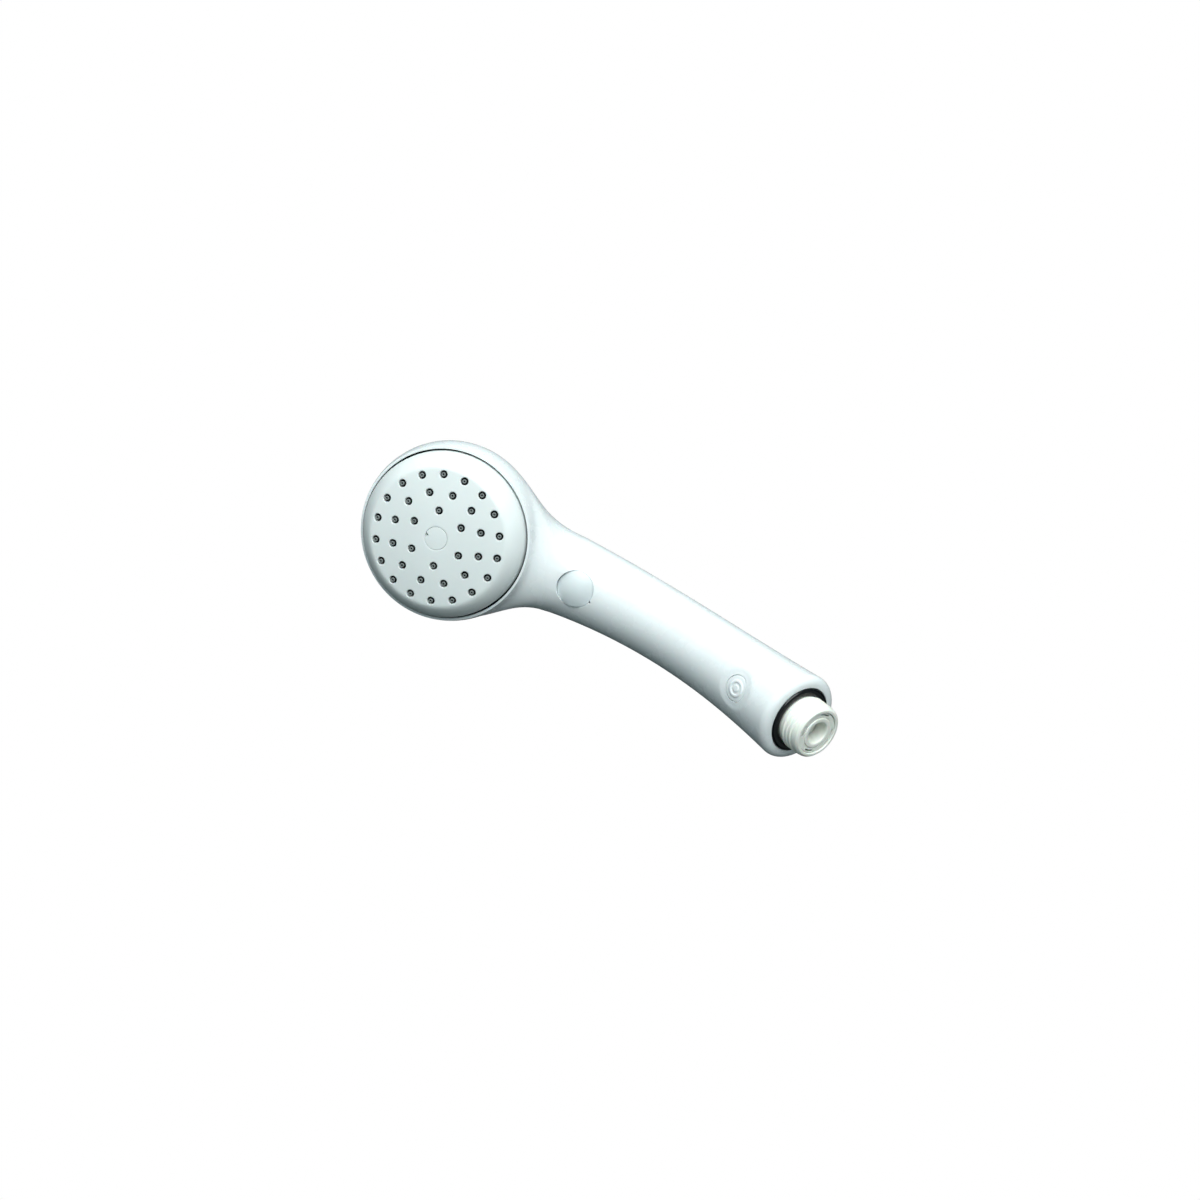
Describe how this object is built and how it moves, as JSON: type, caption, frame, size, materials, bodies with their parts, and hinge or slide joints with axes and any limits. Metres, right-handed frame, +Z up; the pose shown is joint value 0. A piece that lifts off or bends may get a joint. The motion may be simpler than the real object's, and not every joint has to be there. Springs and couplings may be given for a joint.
{
  "type": "handheld shower head",
  "caption": "Round-faced handheld shower head with a curved handle, a thumb stop button on the neck and a threaded hose spigot.",
  "frame": {"origin": "centre of the hose spigot's end face, where the hose is screwed on", "axes": "+Z runs up the spigot's axis into the handle, -Y is the front, towards which the handle leans and the spray goes (37.7 degrees below the horizontal), +X is side to side"},
  "size_m": [0.07, 0.1173, 0.1814],
  "materials": {
    "white_shell": "glossy moulded ABS",
    "white_button": "satin moulded ABS",
    "satin_plate": "satin moulded ABS",
    "nozzle_rubber": "soft silicone",
    "black_rubber": "wet-look black rubber",
    "ivory_pom": "ivory acetal",
    "natural_pom": "natural acetal",
    "steel": "stainless steel",
    "brass": "turned brass"
  },
  "bodies": {
    "handset": {"body_shell": "white_shell", "handle_badge": "white_shell", "spray_plate": "satin_plate", "screw_cap": "satin_plate", "nozzle_mat": "nozzle_rubber", "distributor_plate": "natural_pom", "valve_body": "natural_pom", "spring_stop": "natural_pom", "water_pipe": "natural_pom", "screw_insert": "brass", "centre_screw": "steel", "bonnet_circlip": "steel", "button_spring": "steel", "check_spring": "steel", "screw_washer": "black_rubber", "face_seal": "black_rubber", "stem_o_ring": "black_rubber", "nipple_gasket": "black_rubber", "nipple_o_ring": "black_rubber", "pipe_o_ring": "black_rubber", "pipe_end_seal": "black_rubber", "valve_base": "ivory_pom", "valve_bonnet": "ivory_pom", "hose_nipple": "ivory_pom", "inlet_cage": "ivory_pom", "pipe_bush": "ivory_pom"},
    "button": {"push_button": "white_button", "valve_stem": "steel", "poppet_seal": "black_rubber"},
    "rotor": {"latch_rotor": "natural_pom"},
    "check_piston": {"check_poppet": "natural_pom", "check_washer": "black_rubber"}
  },
  "joints": [
    {"name": "button_press", "type": "slide", "parent": "handset", "child": "button", "axis": [0, 0.7912, 0.6115], "range_m": [0, 0.003], "stiffness_N_per_m": 900, "springref_m": -0.001, "deforming": ["button_spring"]},
    {"name": "latch_turn", "type": "hinge", "parent": "button", "child": "rotor", "pos_m": [0, -0.03329, 0.11029], "axis": [0, 0.7912, 0.6115], "range_deg": [0, 48]},
    {"name": "check_lift", "type": "slide", "parent": "handset", "child": "check_piston", "axis": [0, 0, 1], "range_m": [0, 0.0025], "stiffness_N_per_m": 150, "springref_m": -0.001, "deforming": ["check_spring"]}
  ],
  "couplings": [
    {"joint": "latch_turn", "follows": "button_press", "rad_per_m": 261.8}
  ]
}
